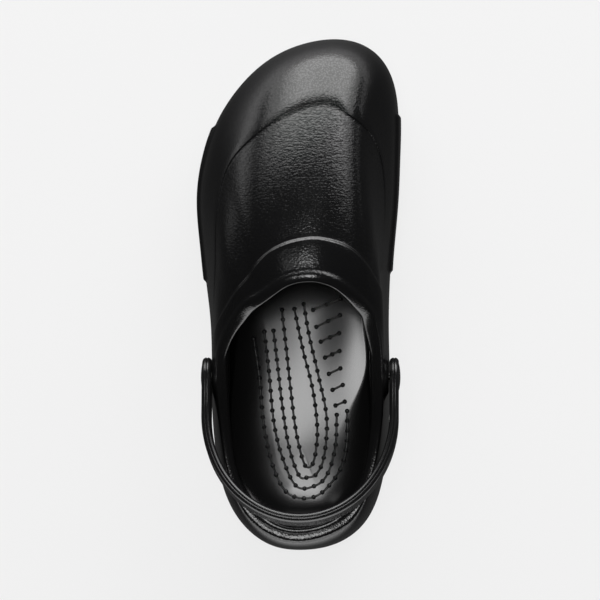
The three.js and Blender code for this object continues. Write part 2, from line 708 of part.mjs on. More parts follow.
// A rivet's inner half: a ring round the post's end, in its seat in the wall.
function rivetWasherGeometry() {
  const hole = POST_RADIUS + CLEARANCE;
  const profile = [
    new THREE.Vector2(hole, 0),
    new THREE.Vector2(WASHER_RADIUS, 0),
    new THREE.Vector2(WASHER_RADIUS, WASHER_THICKNESS - WASHER_BEVEL),
    new THREE.Vector2(WASHER_RADIUS - WASHER_BEVEL, WASHER_THICKNESS),
    new THREE.Vector2(hole, WASHER_THICKNESS),
    new THREE.Vector2(hole, 0),
  ];
  return new THREE.LatheGeometry(profile, ROUND_SIDES);
}

const foam = new THREE.MeshStandardMaterial({ color: 0x1d1d1f, roughness: 0.5, metalness: 0 });
const strapFoam = new THREE.MeshStandardMaterial({ color: 0x1b1b1d, roughness: 0.32, metalness: 0 });
const rivetPlastic = new THREE.MeshStandardMaterial({ color: 0x18181a, roughness: 0.35, metalness: 0 });

function piece(name, geometry, material) {
  const mesh = new THREE.Mesh(geometry, material);
  mesh.name = name;
  return mesh;
}

const clog = new THREE.Group();
clog.add(piece("upper_sole_shell", shellGeometry(), foam));
clog.add(piece("heel_strap", strapGeometry(), strapFoam));
for (const { name, sign } of SIDES) {
  const cap = piece("rivet_cap_" + name, rivetCapGeometry(), rivetPlastic);
  cap.rotation.z = -sign * Math.PI / 2;
  cap.position.set(strapOuterFace(sign) - sign * HEAD_THICKNESS, PIVOT_ALONG, PIVOT_UP);
  const washer = piece("rivet_washer_" + name, rivetWasherGeometry(), rivetPlastic);
  washer.rotation.z = sign * Math.PI / 2;
  washer.position.set(padFace(sign) - sign * (RIVET_GRIP + CLEARANCE), PIVOT_ALONG, PIVOT_UP);
  clog.add(cap, washer);
}

export default clog;
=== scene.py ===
"""A left chef clog of moulded foam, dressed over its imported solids.

The shell's and the strap's smooth forms are built here again from the part's own sizes, with finer
rings, softer steps, a tighter rim, grain and the footbed's relief. Sizes are in millimetres until a
mesh is made, and lights and floor are in metres.
+X is medial, +Y toward the toe, +Z up.
"""
import math

import bmesh
import bpy
import numpy as np
from mathutils import Matrix, Quaternion, Vector
from mathutils.bvhtree import BVHTree

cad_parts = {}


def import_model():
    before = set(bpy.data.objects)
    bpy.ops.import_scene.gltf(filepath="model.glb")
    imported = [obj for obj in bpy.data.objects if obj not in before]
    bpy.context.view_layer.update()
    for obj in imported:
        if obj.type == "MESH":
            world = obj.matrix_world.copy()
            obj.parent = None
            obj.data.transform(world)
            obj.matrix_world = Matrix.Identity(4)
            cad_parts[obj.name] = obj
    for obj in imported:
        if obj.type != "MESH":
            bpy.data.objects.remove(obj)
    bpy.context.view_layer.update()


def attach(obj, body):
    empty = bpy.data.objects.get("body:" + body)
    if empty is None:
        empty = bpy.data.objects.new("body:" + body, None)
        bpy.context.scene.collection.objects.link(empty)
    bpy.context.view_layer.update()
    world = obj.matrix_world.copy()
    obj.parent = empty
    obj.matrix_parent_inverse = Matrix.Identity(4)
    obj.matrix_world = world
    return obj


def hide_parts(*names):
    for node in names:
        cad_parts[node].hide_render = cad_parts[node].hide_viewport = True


MM = 0.001

# Driving sizes of the last and the sole
LENGTH = 290.0
BALL_WIDTH = 116.0
INSTEP_HEIGHT = 102.0
HEEL_HEIGHT = 65.0
WIDEST_HEIGHT = 22.0

# Walls
VAMP_WALL = 4.5
SIDE_WALL = 7.5
LIP_REACH = 12.0
LIP_DEPTH = 6.0
LIP_SHARE = 0.52
LIP_OVER = 0.3
LIP_FALL = 0.2
LIP_LEVEL = 0.55
LIP_RINGS = 15
WALL_PULL = 0.33
CREST_PULL = 0.6
PAST_CREST = 1.0

# Sole
HEEL_FLAT_REAR = -0.42 * LENGTH
HEEL_FLAT_FRONT = -0.24 * LENGTH
BALL_FLAT_REAR = 0.0
BALL_FLAT_FRONT = 0.21 * LENGTH
TOE_SPRING = 13.0
HEEL_ROLL = 4.0
ARCH_RISE = 3.5
TREAD_INSET = 5.5
WIDEST_LIFT = 0.6

# Lugs
GROOVE_WIDTH = 3.2
GROOVE_DEPTH = 2.2
GROOVE_PITCH = 11.5
GROOVE_MARGIN = 12.0
GROOVE_FRONT = 0.33 * LENGTH

# Footbed
FOOTBED_HEEL = 26.0
FOOTBED_BALL = 18.0
FOOTBED_TOE = 20.0
FOOTBED_DISH = 0.6
HEEL_LEAN = 3.0
ARCH_SUPPORT = 2.4
CUP_ROUND = 26.0
CUP_LIFT = 2.0

# Raised and sunk features of the outside
CAP_STEP = 0.6
CAP_REACH = 66.0
BAND_STEP = 1.1
BAND_WIDTH = 19.0
PANEL_STEP = 1.4
STEP_RUN = 0.9
BAND_RUN = 2.2
BEAD_STEP = 1.0
BEAD_PLACE = 2.6
BEAD_RUN = 4.0

# Strap and rivets
STRAP_THICKNESS = 5.2
STRAP_WIDTH = 17.0
STRAP_LOBE_RADIUS = 10.8
STRAP_HALF_SPAN = 0.4733 * BALL_WIDTH
STRAP_CENTRE_OUT = 0.0203 * BALL_WIDTH
STRAP_REACH = 0.288 * LENGTH
STRAP_STRAIGHT = 22.5
STRAP_TILT = math.radians(14)
PIVOT_ALONG = -0.1586 * LENGTH
PIVOT_UP = HEEL_HEIGHT - 7
PAD_RADIUS = 13.0
PAD_FLAT = 8.0
POST_RADIUS = 3.0
HEAD_RADIUS = 8.0
HEAD_THICKNESS = 1.5
HEAD_DOME = 0.9
WASHER_RADIUS = 6.5
WASHER_THICKNESS = 1.6
RIVET_GRIP = 6.4
PAD_GAP = 0.4
CLEARANCE = 0.3

# Places round the foot, from the toe tip along the medial side to the heel and back, with the same
# columns as the solids' ring. Only cupReach differs, on the medial side.
RING_COLUMNS = (
    "footAlong", "footOut", "crestAlong", "crestOut", "crestRise",
    "form", "cap", "capStep", "band", "bandStep", "wall", "cup", "cupReach", "lipReach",
)
RING = [
    [0.5007, 0.174, 0.034, 0.08, 1.0, 0, 1, 1, 1.11, 1, 0, 4, 0.3, 0.75],
    [0.4814, 0.353, 0.0322, 0.124, 0.99, 0.15, 1.03, 1, 1.11, 1, 0, 4, 0.3, 0.75],
    [0.4276, 0.457, 0.0268, 0.172, 0.96, 0.4, 0.98, 1, 1.12, 1, 0, 4, 0.3, 0.78],
    [0.3517, 0.49, 0.0175, 0.218, 0.9, 0.75, 0.78, 1, 1.12, 1, 0, 4, 0.3, 0.82],
    [0.269, 0.487, 0.0025, 0.267, 0.81, 1, 0.53, 0.8, 1.06, 1, 0.05, 4, 0.3, 0.9],
    [0.1862, 0.479, -0.015, 0.31, 0.69, 1, 0.46, 0.3, 0.98, 1, 0.15, 4, 0.3, 1],
    [0.1034, 0.461, -0.035, 0.35, 0.55, 1.15, 0.45, 0, 0.9, 1, 0.35, 4.1, 0.3, 1.05],
    [0.0345, 0.449, -0.065, 0.373, 0.42, 1.6, 0.45, 0, 0.9, 1, 0.6, 4.3, 0.3, 1.05],
    [-0.0552, 0.443, -0.108, 0.39, 0.27, 2.1, 0.45, 0, 0.85, 1, 0.85, 4.7, 0.27, 0.8],
    [-0.1517, 0.4475, -0.172, 0.404, 0.12, 2.7, 0.45, 0, 0.9, 0.5, 1, 5.1, 0.2, 0.55],
    [-0.2552, 0.444, -0.258, 0.406, -0.02, 3, 0.45, 0, 0.9, 0, 1, 5.3, 0.7, 0.42],
    [-0.3655, 0.412, -0.353, 0.36, -0.07, 3.3, 0.45, 0, 0.9, 0, 1, 5.3, 0.88, 0.38],
    [-0.4466, 0.328, -0.424, 0.28, -0.05, 3.7, 0.45, 0, 0.9, 0, 1, 5.3, 0.9, 0.38],
    [-0.4897, 0.181, -0.457, 0.157, -0.01, 4, 0.45, 0, 0.9, 0, 1, 5.3, 0.9, 0.38],
    [-0.5007, 0.013, -0.471, 0.017, 0, 4, 0.45, 0, 0.9, 0, 1, 5.3, 0.9, 0.38],
    [-0.4897, -0.147, -0.459, -0.115, -0.01, 4, 0.45, 0, 0.9, 0, 1, 5.3, 0.9, 0.38],
    [-0.4431, -0.289, -0.423, -0.232, -0.05, 3.7, 0.45, 0, 0.9, 0, 1, 5.3, 0.9, 0.38],
    [-0.3655, -0.379, -0.352, -0.322, -0.07, 3.3, 0.45, 0, 0.9, 0, 1, 5.3, 0.95, 0.38],
    [-0.2552, -0.42, -0.257, -0.359, -0.02, 3, 0.45, 0, 0.9, 0, 1, 5.3, 0.95, 0.38],
    [-0.1517, -0.425, -0.17, -0.371, 0.12, 2.7, 0.45, 0, 0.85, 0.5, 1, 5.1, 0.9, 0.45],
    [-0.0552, -0.433, -0.11, -0.349, 0.27, 2.1, 0.52, 0, 0.68, 1, 0.85, 4.7, 0.85, 0.6],
    [0.0276, -0.457, -0.07, -0.311, 0.42, 1.6, 0.63, 0.3, 0.56, 1, 0.6, 4.3, 0.7, 0.8],
    [0.1034, -0.476, -0.042, -0.267, 0.55, 1.15, 0.7, 0.5, 0.53, 1, 0.35, 4.1, 0.4, 1],
    [0.1862, -0.491, -0.019, -0.22, 0.69, 1, 0.7, 0.5, 0.58, 1, 0.15, 4, 0.3, 1.1],
    [0.269, -0.464, -0.006, -0.163, 0.81, 1, 0.71, 0.8, 0.78, 1, 0.05, 4, 0.3, 0.9],
    [0.3517, -0.388, 0.0085, -0.108, 0.9, 0.75, 0.84, 1, 0.94, 1, 0, 4, 0.3, 0.82],
    [0.4297, -0.241, 0.0232, -0.05, 0.96, 0.4, 0.95, 1, 1.02, 1, 0, 4, 0.3, 0.78],
    [0.481, -0.052, 0.0317, 0.014, 0.99, 0.15, 0.99, 1, 1.07, 1, 0, 4, 0.3, 0.75],
]
FORM_COLUMNS = ("in1", "up1", "in2", "up2", "in3", "up3", "in4", "up4")
FORMS = [
    [0.014, 0.19, 0.07, 0.4, 0.25, 0.62, 0.62, 0.88],
    [0.03, 0.22, 0.14, 0.46, 0.36, 0.73, 0.68, 0.915],
    [0.06, 0.26, 0.19, 0.51, 0.43, 0.76, 0.73, 0.925],
    [0.07, 0.27, 0.22, 0.48, 0.42, 0.69, 0.7, 0.9],
    [0.08, 0.28, 0.24, 0.55, 0.48, 0.81, 0.75, 0.955],
]
SOLE_EDGE_INSET = (1, 0.5, 0.16, 0.02)
SOLE_EDGE_UP = (0, 0.05, 0.28, 0.62)
WIDEST_ROW = len(SOLE_EDGE_UP)
CREST_ROW = WIDEST_ROW + 5
PANEL_LOW, PANEL_HIGH = 2.3, 4.75
PANEL_EDGE = 0.1
PANEL_END = 0.06
PANEL_ENDS = {"medial": (3, 6.85), "lateral": (3.27, 7)}
PLACES = len(RING)
SPINE_SHARE = 0.8

# Fineness of the meshes: places and rows are counted in the ring's places and a section's rows
SAMPLES_PER_PLACE = 14
SAMPLES_PER_PANEL_END = 9
ROW_STEP = 0.01
WALK_ROWS = 5
TANGENT_STEP = 0.02
AROUND_STEP = 0.03
SPEED_STEP = 0.1
OUTSIDE_STEPS = (4, 4, 4, 9, 4, 9, 6, 34, 6, 5, 8, 4)
INSIDE_STEPS = 24
CUP_STEPS = 8
TREAD_SHARES = (0, 0.2, 0.4, 0.6, 0.8, 0.93)
BED_SHARES = (0.96, 0.9, 0.83, 0.75, 0.65, 0.55, 0.45, 0.35, 0.25, 0.15, 0.07, 0)
SHARP_ANGLE = 40
RIVET_SHARP_ANGLE = 35

# How far cutters run past what they cut
PAST_PAD = 2
POST_RUN = 6
WASHER_RUN = 10
PAST_STRAP = 1
BELOW_TREAD = -1

# Lines of nubs on the footbed: where each loop runs, lateral side first, round the heel, and back.
NUB_LOOPS = [
    [(-25.5, -25.2), (-22.4, -46.8), (-19.6, -75.3), (-14.4, -98.0), (-7.0, -112.2), (3.8, -116.0),
     (14.0, -112.2), (24.0, -99.2), (27.7, -83.8), (27.8, -66.2)],
    [(-19.6, -21.2), (-16.9, -43.7), (-14.0, -73.0), (-9.0, -93.2), (-1.1, -109.1), (9.5, -108.8),
     (16.7, -102.0), (21.1, -86.6), (21.9, -68.4)],
    [(-14.4, -20.6), (-11.9, -41.1), (-9.0, -65.0), (-5.3, -87.2), (0.4, -103.1), (5.3, -104.0),
     (10.4, -102.0), (14.7, -91.8), (16.1, -69.9), (11.4, -46.2), (6.0, -23.3), (2.9, -5.3)],
    [(-9.7, -8.7), (-7.0, -31.4), (-4.4, -54.8), (-1.4, -77.8), (2.6, -94.3), (5.5, -98.4),
     (8.9, -94.3), (10.8, -77.8), (8.3, -54.8), (2.6, -32.0), (-2.5, -8.1)],
]
NUB_BARS = [
    ((8.3, -8.7), (23.7, -2.4)),
    ((10.2, -18.4), (23.6, -11.8)),
    ((12.7, -26.8), (23.2, -22.0)),
    ((15.2, -35.9), (23.4, -32.1)),
    ((17.4, -45.1), (23.9, -42.0)),
    ((19.5, -54.2), (25.3, -51.4)),
    ((21.2, -63.1), (26.4, -60.9)),
]
NUB_PITCH = 5.6
NUB_RADIUS = 1.3
NUB_HEIGHT = 0.75
RIB_HALF = 0.6
RIB_HEIGHT = 0.36


def smooth(low, high, value):
    """0 below low, 1 above high, and smooth between."""
    share = np.clip((value - low) / (high - low), 0, 1)
    return share * share * (3 - 2 * share)


def smooth_rise(start, end, value):
    share = np.clip((value - start) / (end - start), 0, 1.1)
    return share * share


def lerp(a, b, share):
    return a + (b - a) * share


def spline_weights(f):
    g = 1 - f
    return (
        g**3 / 6,
        (3 * f**3 - 6 * f**2 + 4) / 6,
        (-3 * f**3 + 3 * f**2 + 3 * f + 1) / 6,
        f**3 / 6,
    )


def unit(vectors):
    return vectors / np.linalg.norm(vectors, axis=-1, keepdims=True)


def ring_controls(values):
    """Controls of the closed smooth curve that passes through a column of the ring."""
    controls = values.copy()
    for _ in range(3):
        curve = (np.roll(controls, 1) + 4 * controls + np.roll(controls, -1)) / 6
        controls = controls + values - curve
    return controls


def ring_table():
    table = np.array(RING, float)
    columns = {name: table[:, i] for i, name in enumerate(RING_COLUMNS)}
    forms = np.array(FORMS)
    low = np.minimum(np.floor(columns["form"]).astype(int), len(FORMS) - 2)
    share = columns["form"] - low
    for i, name in enumerate(FORM_COLUMNS):
        columns[name] = lerp(forms[low, i], forms[low + 1, i], share)
    return {name: ring_controls(values) for name, values in columns.items()}


ring = ring_table()


def ring_value(name, u):
    whole = np.floor(u).astype(int)
    weights = spline_weights(u - whole)
    return sum(w * ring[name][(whole - 1 + i) % PLACES] for i, w in enumerate(weights))


def plan_point(u, along, out):
    return np.stack([ring_value(out, u) * BALL_WIDTH, ring_value(along, u) * LENGTH], axis=-1)


def inward(u, along, out):
    """The direction in plan from the line of the ring to its inside."""
    tangent = unit(plan_point(u + TANGENT_STEP, along, out) - plan_point(u - TANGENT_STEP, along, out))
    return np.stack([tangent[..., 1], -tangent[..., 0]], axis=-1)


def ground(y):
    """Height of the sole's underside above the floor."""
    toe = smooth_rise(BALL_FLAT_FRONT, LENGTH / 2, y) * TOE_SPRING
    heel = smooth_rise(HEEL_FLAT_REAR, -LENGTH / 2, y) * HEEL_ROLL
    middle = (HEEL_FLAT_FRONT + BALL_FLAT_REAR) / 2
    reach = (BALL_FLAT_REAR - HEEL_FLAT_FRONT) / 2
    share = np.maximum(0, 1 - np.abs(y - middle) / reach)
    return toe + heel + ARCH_RISE * smooth(0, 1, share)


def footbed(x, y, reach):
    """Height of the footbed; reach is 0 on its middle line and 1 at its edge."""
    toeward = smooth(-0.3 * LENGTH, 0.15 * LENGTH, y)
    tip = smooth(0.2 * LENGTH, 0.5 * LENGTH, y)
    level = lerp(lerp(FOOTBED_HEEL, FOOTBED_BALL, toeward), FOOTBED_TOE, tip)
    arch_out = (x - 0.3 * BALL_WIDTH) / (0.19 * BALL_WIDTH)
    arch_along = (y + 0.09 * LENGTH) / (0.16 * LENGTH)
    arch = ARCH_SUPPORT * np.exp(-arch_out**2 - arch_along**2)
    return level + arch + FOOTBED_DISH * reach**2


def bezier(points, share):
    """Point of a Bezier curve of any degree at a share of its way; share may be an array."""
    points = list(points)
    while len(points) > 1:
        points = [lerp(a, b, share) for a, b in zip(points, points[1:])]
    return points[0]


def outer_controls(u):
    """Controls of the outside at places u, from the tread's edge to just past the crest."""
    foot = plan_point(u, "footAlong", "footOut")
    foot_in = inward(u, "footAlong", "footOut")
    crest = plan_point(u, "crestAlong", "crestOut")
    crest_in = inward(u, "crestAlong", "crestOut")
    crest_height = lerp(HEEL_HEIGHT, INSTEP_HEIGHT, ring_value("crestRise", u))
    widest = WIDEST_HEIGHT + ground(foot[:, 1]) * WIDEST_LIFT
    rows = []
    for inset, up in zip(SOLE_EDGE_INSET, SOLE_EDGE_UP):
        place = foot + foot_in * (inset * TREAD_INSET)
        rows.append(np.column_stack([place, lerp(ground(place[:, 1]), widest, up)]))
    rows.append(np.column_stack([foot, widest]))
    reach = np.linalg.norm(foot - crest, axis=1)[:, None] * WALL_PULL
    path = (foot, foot + foot_in * reach, crest - crest_in * reach, crest)
    for step in "1234":
        place = bezier(path, ring_value("in" + step, u)[:, None])
        rows.append(np.column_stack([place, lerp(widest, crest_height, ring_value("up" + step, u))]))
    rows.append(np.column_stack([crest, crest_height]))
    past = crest + crest_in * (reach * CREST_PULL + PAST_CREST)
    rows.append(np.column_stack([past, lerp(rows[CREST_ROW - 1][:, 2], crest_height, CREST_PULL)]))
    return np.stack(rows, axis=1)


def curve_point(points, t):
    """Points of each section's smooth curve at its rows t."""
    last = points.shape[1] - 1
    before = 2 * points[:, :1] - points[:, 1:2]
    after = 2 * points[:, -1:] - points[:, -2:-1]
    extended = np.concatenate([before, points, after], axis=1)
    whole = np.minimum(np.floor(t).astype(int), last - 1)
    weights = spline_weights(t - whole)
    sections = np.arange(len(points))[:, None]
    return sum(w[..., None] * extended[sections, whole + i] for i, w in enumerate(weights))


def curve_controls(points):
    rows = np.tile(np.arange(points.shape[1], dtype=float), (len(points), 1))
    controls = points.copy()
    for _ in range(3):
        controls = controls + points - curve_point(controls, rows)
    return controls


class Sections:
    """The outside's smooth sections at places u round the foot."""

    def __init__(self, u):
        self.u = u
        self.here = curve_controls(outer_controls(u))
        self.ahead = curve_controls(outer_controls(u + AROUND_STEP))
        self.behind = curve_controls(outer_controls(u - AROUND_STEP))
        self.cap = self.row_at(WIDEST_ROW, CAP_REACH * ring_value("cap", u), 1)
        self.band = self.row_at(CREST_ROW, BAND_WIDTH * ring_value("band", u), -1)
        self.bead = self.row_at(CREST_ROW, np.full(len(u), BEAD_PLACE), -1)
        self.lip = self.row_at(CREST_ROW, np.full(len(u), LIP_DEPTH), -1)
        self.cap_half = self.step_half(self.cap, STEP_RUN)
        self.band_half = self.step_half(self.band, BAND_RUN)
        self.bead_half = self.step_half(self.bead, BEAD_RUN)

    def point(self, t):
        return curve_point(self.here, t)

    def normal(self, t):
        across = self.point(t + TANGENT_STEP) - self.point(np.maximum(t - TANGENT_STEP, 0))
        around = curve_point(self.ahead, t) - curve_point(self.behind, t)
        return unit(np.cross(across, around))

    def row_at(self, start, distance, direction):
        """The row reached by walking a distance along each section from one of its rows."""
        rows = start + direction * np.arange(0, WALK_ROWS, ROW_STEP)
        walk = self.point(np.tile(rows, (len(self.u), 1)))
        steps = np.linalg.norm(np.diff(walk, axis=1), axis=2)
        walked = np.concatenate([np.zeros((len(steps), 1)), np.cumsum(steps, axis=1)], axis=1)
        return np.array([np.interp(d, w, rows) for d, w in zip(distance, walked)])

    def step_half(self, edge, run):
        """Half the run of a step of the surface, in rows."""
        ends = self.point(edge[:, None] + np.array([[-SPEED_STEP, SPEED_STEP]]))
        speed = np.linalg.norm(ends[:, 1] - ends[:, 0], axis=1) / (2 * SPEED_STEP)
        return run / 2 / speed


def panel_share(u):
    """1 beside the side panels and 0 past their ends."""
    place = np.minimum(u, PLACES - u)
    medial = u < PLACES / 2
    front = np.where(medial, PANEL_ENDS["medial"][0], PANEL_ENDS["lateral"][0])
    rear = np.where(medial, PANEL_ENDS["medial"][1], PANEL_ENDS["lateral"][1])
    return smooth(front - PANEL_END, front + PANEL_END, place) * (
        1 - smooth(rear - PANEL_END, rear + PANEL_END, place)
    )


def relief(sections, t):
    """Height of the outside's raised features over its smooth form."""
    u = sections.u
    cap, cap_half = sections.cap[:, None], sections.cap_half[:, None]
    band, band_half = sections.band[:, None], sections.band_half[:, None]
    bead, bead_half = sections.bead[:, None], sections.bead_half[:, None]
    sunk = CAP_STEP * ring_value("capStep", u)[:, None] * smooth(cap - cap_half, cap + cap_half, t)
    edge = BAND_STEP * smooth(band - band_half, band + band_half, t)
    edge = edge + BEAD_STEP * smooth(bead - bead_half, bead + bead_half, t)
    raised = edge * ring_value("bandStep", u)[:, None]
    low = smooth(PANEL_LOW - PANEL_EDGE, PANEL_LOW + PANEL_EDGE, t)
    high = 1 - smooth(PANEL_HIGH - PANEL_EDGE, PANEL_HIGH + PANEL_EDGE, t)
    return raised - sunk + PANEL_STEP * panel_share(u)[:, None] * low * high


def strap_outer_face(sign):
    return STRAP_CENTRE_OUT + sign * STRAP_HALF_SPAN


def pad_face(sign):
    return strap_outer_face(sign) - sign * (STRAP_THICKNESS + PAD_GAP)


def padded(points):
    """Flattens the outside round each rivet, so that the strap's lobe lies on a flat pad."""
    distance = np.hypot(points[..., 1] - PIVOT_ALONG, points[..., 2] - PIVOT_UP)
    share = 1 - smooth(PAD_FLAT, PAD_RADIUS, distance)
    face = np.where(points[..., 0] > 0, pad_face(1), pad_face(-1))
    moved = points.copy()
    moved[..., 0] = lerp(points[..., 0], face, share)
    return moved


def rows_between(anchors, counts):
    """Rows of each section between its anchors, each stretch cut into so many steps."""
    pieces = []
    for (a, b), count in zip(zip(anchors, anchors[1:]), counts):
        shares = np.arange(count) / count
        pieces.append(a[:, None] + (b - a)[:, None] * shares)
    pieces.append(anchors[-1][:, None])
    return np.concatenate(pieces, axis=1)


def places_round():
    """Places of the fine sections, mirrored about the toe's tip, closer at the panels' ends."""
    half = set(np.round(np.arange(0, PLACES / 2 + 1e-6, 1 / SAMPLES_PER_PLACE), 6))
    for ends in PANEL_ENDS.values():
        for end in ends:
            near = [p for p in half if abs(p - end) < 1.9 * PANEL_END]
            half -= set(near)
            half |= set(np.round(end + PANEL_END * np.linspace(-1.25, 1.25, SAMPLES_PER_PANEL_END), 6))
    half = sorted(half)
    other = [PLACES - p for p in half if 0 < p < PLACES / 2]
    return np.array(sorted(half + other))


def closing_rings(edge, shares, height):
    """Rings from an edge to its middle line, with their heights from a function of place."""
    mate = np.roll(edge[::-1], 1, axis=0)
    spine = (edge[:, :2] + mate[:, :2]) * 0.5 * SPINE_SHARE
    rings = []
    for share in shares:
        plan = lerp(spine, edge[:, :2], share)
        z = height(plan[:, 0], plan[:, 1], share)
        rings.append(np.column_stack([plan, z]))
    return rings


def rings_mesh(name, rings, attributes=None):
    """A closed mesh from rings of points, the first and last folded onto their middle lines."""
    count = len(rings[0])
    points = np.concatenate(rings) * MM
    index = np.arange(len(points))
    mates = (count - np.arange(count)) % count
    first = np.minimum(np.arange(count), mates)
    index[:count] = first
    index[-count:] = first + len(points) - count
    faces = []
    for r in range(len(rings) - 1):
        base = r * count
        for i in range(count):
            j = (i + 1) % count
            corners = [index[k] for k in (base + i, base + count + i, base + count + j, base + j)]
            kept = [c for n, c in enumerate(corners) if c not in corners[:n]]
            if len(kept) > 2:
                faces.append(kept)
    used = np.unique([c for face in faces for c in face])
    renumber = np.full(len(points), -1)
    renumber[used] = np.arange(len(used))
    mesh = bpy.data.meshes.new(name)
    mesh.from_pydata(points[used].tolist(), [], [[int(renumber[c]) for c in f] for f in faces])
    for label, values in (attributes or {}).items():
        layer = mesh.attributes.new(label, "FLOAT", "POINT")
        layer.data.foreach_set("value", np.asarray(values, dtype=np.float32)[used])
    mesh.update()
    return mesh


def add_object(name, mesh):
    obj = bpy.data.objects.new(name, mesh)
    bpy.context.scene.collection.objects.link(obj)
    return obj


def smooth_shading(mesh, angle):
    mesh.shade_smooth()
    mesh.set_sharp_from_angle(angle=math.radians(angle))


def apply_difference(obj, cutters):
    """Cuts closed meshes out of obj, and leaves the result as its mesh."""
    joined = bmesh.new()
    for cutter in cutters:
        joined.from_mesh(cutter)
    tool_mesh = bpy.data.meshes.new("cutters")
    joined.to_mesh(tool_mesh)
    joined.free()
    tool = add_object("cutters", tool_mesh)
    modifier = obj.modifiers.new("cut", "BOOLEAN")
    modifier.operation = "DIFFERENCE"
    modifier.solver = "MANIFOLD"
    modifier.object = tool
    evaluated = obj.evaluated_get(bpy.context.evaluated_depsgraph_get())
    result = bpy.data.meshes.new_from_object(evaluated)
    obj.modifiers.clear()
    obj.data = result
    bpy.data.objects.remove(tool)


def box_mesh(low, high):
    mesh = bpy.data.meshes.new("box")
    shape = bmesh.new()
    bmesh.ops.create_cube(shape, size=1)
    centre = [(a + b) / 2 * MM for a, b in zip(low, high)]
    size = [(b - a) * MM for a, b in zip(low, high)]
    for vertex in shape.verts:
        vertex.co = Vector(c + v * s for c, v, s in zip(centre, vertex.co, size))
    shape.to_mesh(mesh)
    shape.free()
    return mesh


def lathe_mesh(name, profile, sign, origin, sides=64):
    """A closed profile (radius, height out) turned about X at the pivot; sign is the way out."""
    angles = np.arange(sides) / sides * 2 * math.pi * sign
    rings = []
    for radius, height in profile:
        x = np.full(sides, origin + sign * height)
        y = PIVOT_ALONG + radius * np.cos(angles)
        z = PIVOT_UP + radius * np.sin(angles)
        rings.append(np.column_stack([x, y, z]))
    points = np.concatenate(rings) * MM
    faces = []
    for r in range(len(rings) - 1):
        low, high = r * sides, (r + 1) * sides
        for i in range(sides):
            j = (i + 1) % sides
            faces.append([low + i, low + j, high + j, high + i])
    mesh = bpy.data.meshes.new(name)
    mesh.from_pydata(points.tolist(), [], faces)
    shape = bmesh.new()
    shape.from_mesh(mesh)
    bmesh.ops.remove_doubles(shape, verts=shape.verts, dist=1e-7)
    bmesh.ops.recalc_face_normals(shape, faces=shape.faces)
    shape.to_mesh(mesh)
    shape.free()
    return mesh


def bore_mesh(radius, start, end):
    low, high = sorted((start, end))
    profile = [(0, 0), (radius, 0), (radius, high - low), (0, high - low)]
    return lathe_mesh("bore", profile, 1, low, sides=48)


# The shell


def groove_cutters(tread_edge):
    cutters = []
    half = len(tread_edge) // 2
    medial_edge = tread_edge[: half + 1]
    lateral_edge = np.concatenate([tread_edge[:1], tread_edge[half:][::-1]])
    y = HEEL_FLAT_REAR + GROOVE_PITCH / 2
    while y < GROOVE_FRONT:
        if not HEEL_FLAT_FRONT < y < BALL_FLAT_REAR:
            medial = np.interp(-y, -medial_edge[:, 1], medial_edge[:, 0]) - GROOVE_MARGIN
            lateral = np.interp(-y, -lateral_edge[:, 1], lateral_edge[:, 0]) + GROOVE_MARGIN
            top = float(ground(np.array(y))) + GROOVE_DEPTH
            low = (lateral, y - GROOVE_WIDTH / 2, BELOW_TREAD)
            cutters.append(box_mesh(low, (medial, y + GROOVE_WIDTH / 2, top)))
        y += GROOVE_PITCH
    return cutters


def rivet_seats():
    cutters = []
    for sign in (1, -1):
        pad = pad_face(sign)
        seat = pad - sign * RIVET_GRIP
        cutters.append(bore_mesh(POST_RADIUS + CLEARANCE, pad + sign * PAST_PAD, seat - sign * POST_RUN))
        cutters.append(bore_mesh(WASHER_RADIUS + CLEARANCE, seat, seat - sign * WASHER_RUN))
    return cutters


def lip_rings(crest, crest_in, under, reach):
    """Rings from the crest to the inner wall: nearly level, then turned down over a tight corner."""
    under_in = np.sum((under - crest) * crest_in, axis=1)[:, None]
    corner_in = np.maximum(reach * LIP_SHARE, under_in + LIP_OVER)
    corner = crest + crest_in * corner_in
    corner[:, 2] -= corner_in[:, 0] * LIP_FALL
    level = crest + crest_in * corner_in * LIP_LEVEL
    path = (crest, level, corner, corner, lerp(under, corner, LIP_LEVEL), under)
    return [bezier(path, share) for share in np.arange(1, LIP_RINGS + 1) / (LIP_RINGS + 1)]


